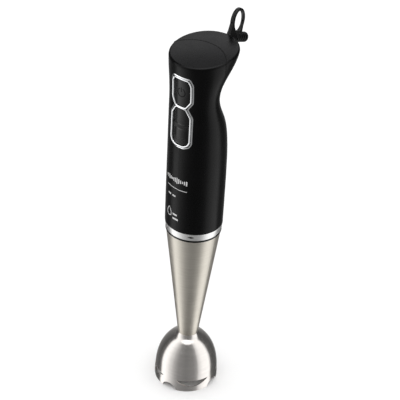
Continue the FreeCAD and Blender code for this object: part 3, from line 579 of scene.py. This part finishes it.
def turbo_relief(x, z):
    """Thumb ledge across the middle, and fine grip ribs near the lower end."""
    ledge = 0.42 * np.exp(-((z - 307.4 - 0.02 * x * x) / 1.0) ** 2)
    hollow = -0.62 * np.exp(-((z - 309.9 - 0.02 * x * x) / 1.1) ** 2)
    dish = -0.25 * np.exp(-((z - 316.0) / 5.0) ** 2)
    ribs = 0.16 * np.cos(2 * np.pi * (z - 291.8) / 1.5)
    ribbed = np.clip((298.2 - z) / 0.8, 0, 1) * np.clip((z - 291.2) / 0.6, 0, 1)
    ribbed = ribbed * np.clip((6.6 - abs(x)) / 0.6, 0, 1)
    return ledge + hollow + dish + ribs * ribbed


def stroke(name, points, width, low, high, place, material, body, closed, replaces=()):
    """A drawn line with a rounded back, laid on a surface."""
    path = np.asarray(points, float)
    section = [(offset - width / 2, lift)
               for offset, lift in bead_section(width, low, high, low - 0.12, 7)]
    return moulding(name, path, section, place, material, body, replaces, closed)


def build_icon():
    """Raised mark on the upper button: an open ring with a bar in its gap."""
    def on_dish(x, z, lift):
        return barrel_point(x, z, lift + 0.25 - 0.012 * x * x + speed_relief(x, z))

    gap = math.radians(24)
    sweep = np.linspace(math.pi / 2 + gap, math.pi / 2 + 2 * math.pi - gap, 60)
    circle = np.stack((4.0 * np.cos(sweep), SPEED_Z + 4.0 * np.sin(sweep)), -1)
    bar = np.stack((np.zeros(12), np.linspace(SPEED_Z + 0.8, SPEED_Z + 5.0, 12)), -1)
    ink = SLOT_MATERIALS["icon_face"]
    stroke("speed_icon_ring", circle, 0.75, 0.0, 0.22, on_dish, ink, "speed_button",
           False, ["speed_icon"])
    stroke("speed_icon_bar", bar, 0.75, 0.0, 0.22, on_dish, ink, "speed_button",
           False)


def build_buttons():
    build_button("speed_cap", upper_cell, speed_relief, SPEED_Z, "speed_button",
                 ["speed_button"])
    build_button("turbo_cap", lower_cell, turbo_relief, TURBO_Z, "turbo_button",
                 ["turbo_button"])
    build_icon()


# ---- parting line of the rear cover ------------------------------------------

SEAM_CENTRE_Y, SEAM_RADIUS, SEAM_FOOT_Z = -24.0, 35.0, 336.0
SEAM_BEND = 2.3               # length over which the seam turns from the side to the top


def seam_exit(z):
    """Where the seam's arc leaves the handle at a height, found by halving."""
    front, side, rear = (float(handle_reach(np.float64(z), column)) for column in (1, 2, 3))
    low, high = 0.0, math.pi / 2
    for _ in range(40):
        turn = (low + high) / 2
        x = SEAM_RADIUS * math.sin(turn)
        y = SEAM_CENTRE_Y + SEAM_RADIUS * math.cos(turn)
        inside = (x / side) ** 2 + ((y - (rear - front) / 2) / ((rear + front) / 2)) ** 2 < 1
        low, high = (turn, high) if inside else (low, turn)
    depth = (rear + front) / 2
    out = np.array((x / side ** 2, (y - (rear - front) / 2) / depth ** 2, 0.0))
    return np.array((x, y, z)), out / np.linalg.norm(out), turn


def top_seam_point(turn):
    """Point of the seam on the crowned top, and the way out from the surface."""
    x = SEAM_RADIUS * math.sin(turn)
    y = SEAM_CENTRE_Y + SEAM_RADIUS * math.cos(turn)
    spot = np.array((x, y, float(dome_height(x, y))))
    step = 0.01
    fall_x = (float(dome_height(x + step, y)) - spot[2]) / step
    fall_y = (float(dome_height(x, y + step)) - spot[2]) / step
    out = np.array((-fall_x, -fall_y, 1.0))
    return spot, out / np.linalg.norm(out)


def build_seam():
    """A dark matte strip of painted shade along the parting gap, with a fine raised edge, over
    the top and down both sides.
    """
    rim_z = 376.0
    for _ in range(20):
        corner, _, rim_turn = seam_exit(rim_z)
        rim_z = float(dome_height(corner[0], corner[1]))
    side_path = [seam_exit(z)[:2] for z in np.linspace(SEAM_FOOT_Z, rim_z - SEAM_BEND, 40)]
    last_turn = rim_turn - SEAM_BEND / SEAM_RADIUS
    half = []
    for turn in np.linspace(last_turn, 0.0, 40):
        half.append(top_seam_point(turn))
    bend = []
    start, stop = side_path[-1], half[0]
    for t in np.linspace(0, 1, 9)[1:-1]:
        spot = (1 - t) ** 2 * start[0] + 2 * t * (1 - t) * corner + t * t * stop[0]
        out = (1 - t) * start[1] + t * stop[1]
        bend.append((spot - 0.1 * out, out / np.linalg.norm(out)))
    right = side_path + bend + half
    flip = np.array((-1.0, 1.0, 1.0))
    chain = right + [(spot * flip, out * flip) for spot, out in reversed(right[:-1])]
    spots = np.array([spot for spot, out in chain])
    outs = np.array([out for spot, out in chain])
    ahead = np.gradient(spots, axis=0)
    across = np.cross(outs, ahead)
    across /= np.linalg.norm(across, axis=1)[:, None]
    # The first strip is low-gloss dark ink laid along the parting line: painted shade of the
    # gap between the covers.
    for name, section, material in (
            ("seam_shade_strip", [(-0.38, -0.4), (-0.38, 0.03), (0.38, 0.03), (0.38, -0.4)],
             "icon_face"),
            ("seam_lip", [(-0.95, -0.3), (-0.95, 0.0), (-0.75, 0.10), (-0.5, 0.10),
                          (-0.38, -0.02), (-0.38, -0.3)], "handle_plastic")):
        rows = [spots + offset * across + lift * outs for offset, lift in section]
        points = np.stack(rows, 1).reshape(-1, 3)
        faces = grid_faces(len(spots), len(section), True)
        end = (len(spots) - 1) * len(section)
        faces.append(tuple(range(len(section) - 1, -1, -1)))
        faces.append(tuple(range(end, end + len(section))))
        make_piece(name, points, faces, SLOT_MATERIALS[material], "handle")


# ---- generic printed marks on the handle's front -----------------------------

def build_marks():
    """Plain bars, a rule, dashes and a drop, with no lettering."""
    ink = SLOT_MATERIALS["print_ink"]

    def line(name, x0, z0, x1, z1, width):
        steps = max(4, int(math.hypot(x1 - x0, z1 - z0)))
        path = np.stack((np.linspace(x0, x1, steps), np.linspace(z0, z1, steps)), -1)
        stroke(name, path, width, 0.01, 0.06, front_point, ink, "handle", False)

    heights = (2.4, 3.6, 4.8, 3.6, 2.4, 3.6, 4.8, 6.4, 4.8, 3.6, 2.4, 3.6, 4.8)
    for i, height in enumerate(heights):
        x = -14.6 + 2.0 * i
        line("print_bar_%d" % (i + 1), x, 250.4 - height / 2, x, 250.4 + height / 2, 1.2)
    line("print_rule", -13.0, 241.2, 10.0, 241.2, 0.7)
    line("print_dash_1", -11.6, 232.3, -7.6, 232.3, 1.6)
    line("print_dash_2", -5.6, 232.3, -1.8, 232.3, 1.6)
    turn = np.linspace(0, 2 * math.pi, 48, endpoint=False)
    drop = np.stack((-9.4 + 2.7 * np.sin(turn) * (1 - 0.45 * np.cos(turn)),
                     212.6 + 4.6 * np.cos(turn)), -1)
    stroke("print_drop", drop, 0.8, 0.01, 0.06, front_point, ink, "handle", True)
    line("print_tick_1", -4.4, 211.8, 0.8, 211.8, 1.9)
    line("print_tick_2", -4.4, 207.0, 2.2, 207.0, 1.9)


# ---- rubber bushing and loop -------------------------------------------------

def soften(name, node, body, slot, voxel_mm, rounds):
    """A moulded skin over a CAD node: its edges are eased as rubber's are."""
    source = frame["nodes"][node]
    piece = bpy.data.objects.new(name, source.data.copy())
    bpy.context.scene.collection.objects.link(piece)
    remesh = piece.modifiers.new("remesh", "REMESH")
    remesh.mode = "VOXEL"
    remesh.voxel_size = voxel_mm * MM
    ease = piece.modifiers.new("ease", "SMOOTH")
    ease.factor = 0.5
    ease.iterations = rounds
    view = bpy.context.evaluated_depsgraph_get()
    eased = bpy.data.meshes.new_from_object(piece.evaluated_get(view))
    piece.modifiers.clear()
    piece.data = eased
    piece.data.polygons.foreach_set("use_smooth", [True] * len(eased.polygons))
    eased.materials.clear()
    eased.materials.append(SLOT_MATERIALS[slot])
    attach(piece, body)
    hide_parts(node)


LOCK_MARK_AZIMUTH, LOCK_MARK_Z = 33.0, 190.4
LOCK_MARK_HALF_LENGTH = 3.1
RING_FOOT_RADIUS, RING_FOOT_Z = 26.85, 186.2
RING_RISE, RING_HEIGHT = 0.85, 7.8    # the ring widens by the first over the second


def build_collar():
    """The rubber line under the ring, and the dark alignment mark on the ring."""
    lathe("gasket_lip", [(17.65, 184.9), (26.62, 184.9), (26.62, 184.3), (26.82, 184.32),
                         (27.0, 184.7), (27.0, 185.6), (26.85, 186.1), (17.65, 186.1)],
          SLOT_MATERIALS["black_rubber"], "lock", ["gasket_ring"])
    rows = []
    for t in np.linspace(-1, 1, 25):
        turn = math.radians(LOCK_MARK_AZIMUTH) + t * LOCK_MARK_HALF_LENGTH / 27.3
        tall = 1.05 * (1 - abs(t)) ** 0.7
        for share, lift in ((-1, -0.3), (-1, 0.05), (0, 0.08), (1, 0.05), (1, -0.3)):
            z = LOCK_MARK_Z + share * tall
            reach = RING_FOOT_RADIUS + (z - RING_FOOT_Z) * RING_RISE / RING_HEIGHT + lift
            rows.append((reach * math.sin(turn), -reach * math.cos(turn), z))
    make_piece("align_mark", rows, grid_faces(25, 5, True), SLOT_MATERIALS["icon_face"],
               "handle", ["lock_mark"])


def build_springs():
    """Copies of the return springs, riding on the handle."""
    for joint, node, z in (("speed_press", "speed_spring", SPEED_Z),
                           ("turbo_press", "turbo_spring", TURBO_Z)):
        piece = bpy.data.objects.new(node + "_coil", frame["nodes"][node].data.copy())
        bpy.context.scene.collection.objects.link(piece)
        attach(piece, "handle")
        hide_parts(node)
        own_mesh(piece)


build_bezel()
build_seam()
build_collar()
build_springs()
build_buttons()
build_marks()
soften("bushing_and_loop", "cord_bushing", "handle", "black_rubber", 0.32, 5)


# ---- camera, light and floor -------------------------------------------------

CAMERA_AZIMUTH = math.radians(37.0)    # from the front, towards +X
CAMERA_REACH = 0.9994                  # level distance from the drive axis
CAMERA_HEIGHT = 0.9029
CAMERA_PITCH = math.radians(34.53)
CAMERA_YAW = math.radians(-0.275)
CAMERA_ROLL = math.radians(3.256)
CAMERA_LENS_MM = 115.64                # on a 36 mm sensor


def add_camera():
    data = bpy.data.cameras.new("camera")
    data.sensor_width = 36.0
    data.lens = CAMERA_LENS_MM
    data.clip_start = 0.02
    data.clip_end = 50.0
    camera = bpy.data.objects.new("camera", data)
    bpy.context.scene.collection.objects.link(camera)
    place = Vector((CAMERA_REACH * math.sin(CAMERA_AZIMUTH),
                    -CAMERA_REACH * math.cos(CAMERA_AZIMUTH), CAMERA_HEIGHT))
    heading = math.atan2(-place.y, -place.x) + CAMERA_YAW
    ahead = Vector((math.cos(heading) * math.cos(CAMERA_PITCH),
                    math.sin(heading) * math.cos(CAMERA_PITCH), -math.sin(CAMERA_PITCH)))
    right = ahead.cross(Vector((0, 0, 1))).normalized()
    up = right.cross(ahead)
    c, s = math.cos(CAMERA_ROLL), math.sin(CAMERA_ROLL)
    across, upward = c * right + s * up, c * up - s * right
    turn = Matrix((across, upward, -ahead)).transposed().to_4x4()
    camera.matrix_world = Matrix.Translation(place) @ turn
    bpy.context.scene.camera = camera


# What reflections see at each turn from the camera's heading: degrees, brightness. The
# levels were set from measured highlights of the photograph, so they fit that view.
REFLECTED_LEVELS = (
    (-180, 0.36), (-166, 0.26), (-152, 0.13), (-118, 0.06), (-101, 0.10), (-95, 0.86),
    (-84, 0.94), (-70, 0.78), (-58, 0.56), (-42, 0.32), (-28, 0.19), (0, 0.14),
    (28, 0.17), (41, 0.26), (47, 0.56), (62, 0.80), (90, 0.88), (96, 0.70),
    (102, 0.08), (135, 0.06), (160, 0.16), (180, 0.36))
REFLECTED_STRENGTH = 1.7
SOFT_STRENGTH = 0.30          # even light on all that isn't a reflection
SHOWN_STRENGTH = 1.0          # white behind the object


def add_studio():
    """Even white light, and a pattern by direction that only reflections see."""
    world = bpy.data.worlds.new("studio")
    world.use_nodes = True
    bpy.context.scene.world = world
    graph = Graph(world.node_tree)
    way = graph.add("ShaderNodeTexCoord").outputs["Generated"]
    turn = graph.add("ShaderNodeVectorRotate", {"Vector": way,
                     "Angle": math.pi / 2 - CAMERA_AZIMUTH}, rotation_type="Z_AXIS")
    parts = graph.add("ShaderNodeSeparateXYZ", {"Vector": turn.outputs[0]}).outputs
    angle = graph.math("ARCTAN2", parts["Y"], parts["X"])
    steep = graph.spread(parts["Z"], 0.82, 1.0, -0.78, -0.58)
    share = graph.spread(graph.math("MULTIPLY", angle, steep), 0.0, 1.0, -math.pi, math.pi)

    stops = [(degrees / 360 + 0.5, colour(level, level, level))
             for degrees, level in REFLECTED_LEVELS]
    boxes = graph.ramp(share, stops)
    behind = graph.spread(graph.math("ABSOLUTE", angle), 0.0, 1.0, 2.45, 2.75)
    lifted = graph.math("MULTIPLY", behind, graph.spread(parts["Z"], 0.0, 1.0, 0.42, 0.54))
    overhead = graph.mix(graph.spread(parts["Z"], 0.0, 1.0, 0.56, 0.68),
                         colour(1.20, 1.20, 1.22), colour(0.26, 0.26, 0.27))
    sides = graph.mix(lifted, boxes, overhead)
    zenith = graph.spread(parts["Z"], 0.0, 1.0, 0.82, 0.93)
    glossy = graph.mix(zenith, sides, colour(1.8, 1.8, 1.82))
    seen = graph.add("ShaderNodeLightPath").outputs
    soft = graph.add("ShaderNodeBackground", {"Color": colour(1, 1, 1),
                     "Strength": SOFT_STRENGTH})
    bright = graph.add("ShaderNodeBackground", {"Color": glossy,
                       "Strength": REFLECTED_STRENGTH})
    pick = graph.add("ShaderNodeMixShader", {"Fac": seen["Is Glossy Ray"],
                     1: soft.outputs[0], 2: bright.outputs[0]})
    white = graph.add("ShaderNodeBackground", {"Color": colour(1, 1, 1),
                      "Strength": SHOWN_STRENGTH})
    shown = graph.add("ShaderNodeMixShader", {"Fac": seen["Is Camera Ray"],
                      1: pick.outputs[0], 2: white.outputs[0]})
    graph.add("ShaderNodeOutputWorld", {"Surface": shown.outputs[0]})
    world.cycles.sampling_method = "NONE"


def add_lamp(name, azimuth, height, reach, size, power):
    """A tall soft light to one side."""
    data = bpy.data.lights.new(name, "AREA")
    data.shape = "RECTANGLE"
    data.size, data.size_y = size
    data.energy = power
    lamp = bpy.data.objects.new(name, data)
    bpy.context.scene.collection.objects.link(lamp)
    angle = math.radians(azimuth)
    lamp.location = (reach * math.sin(angle), -reach * math.cos(angle), height)
    aim = Vector((0, 0, 0.2)) - lamp.location
    lamp.rotation_euler = aim.to_track_quat("-Z", "Y").to_euler()
    lamp.visible_glossy = False


def add_ceiling(strength, spread):
    """Even light from above, so broad that it leaves only a soft contact shadow."""
    data = bpy.data.lights.new("ceiling", "SUN")
    data.energy = strength
    data.angle = math.radians(spread)
    lamp = bpy.data.objects.new("ceiling", data)
    bpy.context.scene.collection.objects.link(lamp)
    lamp.location = (0, 0, 2)
    lamp.visible_glossy = False


FLOOR_DROP = 0.0002           # the floor lies just below the feet


def add_floor():
    """A plain pale floor. It lights the object but isn't mirrored in the metal."""
    half = 6.0
    mesh = bpy.data.meshes.new("floor")
    z = cad_low.z - FLOOR_DROP
    mesh.from_pydata([(-half, -half, z), (half, -half, z), (half, half, z), (-half, half, z)],
                     [], [(0, 1, 2, 3)])
    floor = bpy.data.objects.new("floor", mesh)
    bpy.context.scene.collection.objects.link(floor)
    material, graph, surface, place = new_material("pale_floor")
    cloud = graph.noise(place, 2.0, 2.0)
    shade = graph.mix(graph.spread(cloud, 0.0, 1.0), colour(0.93, 0.93, 0.93),
                      colour(0.95, 0.95, 0.95))
    connect(graph, surface, Base_Color=shade, Roughness=0.9, Specular_IOR_Level=0.1)
    mesh.materials.append(material)
    floor.visible_glossy = False


add_camera()
add_studio()
add_ceiling(strength=2.6, spread=95)
for lamp_name, lamp_azimuth in (("side_left", -60), ("side_right", 130)):
    add_lamp(lamp_name, lamp_azimuth, height=1.0, reach=1.4, size=(1.0, 1.6), power=1.0)
add_floor()
bpy.context.scene.view_settings.view_transform = "Standard"
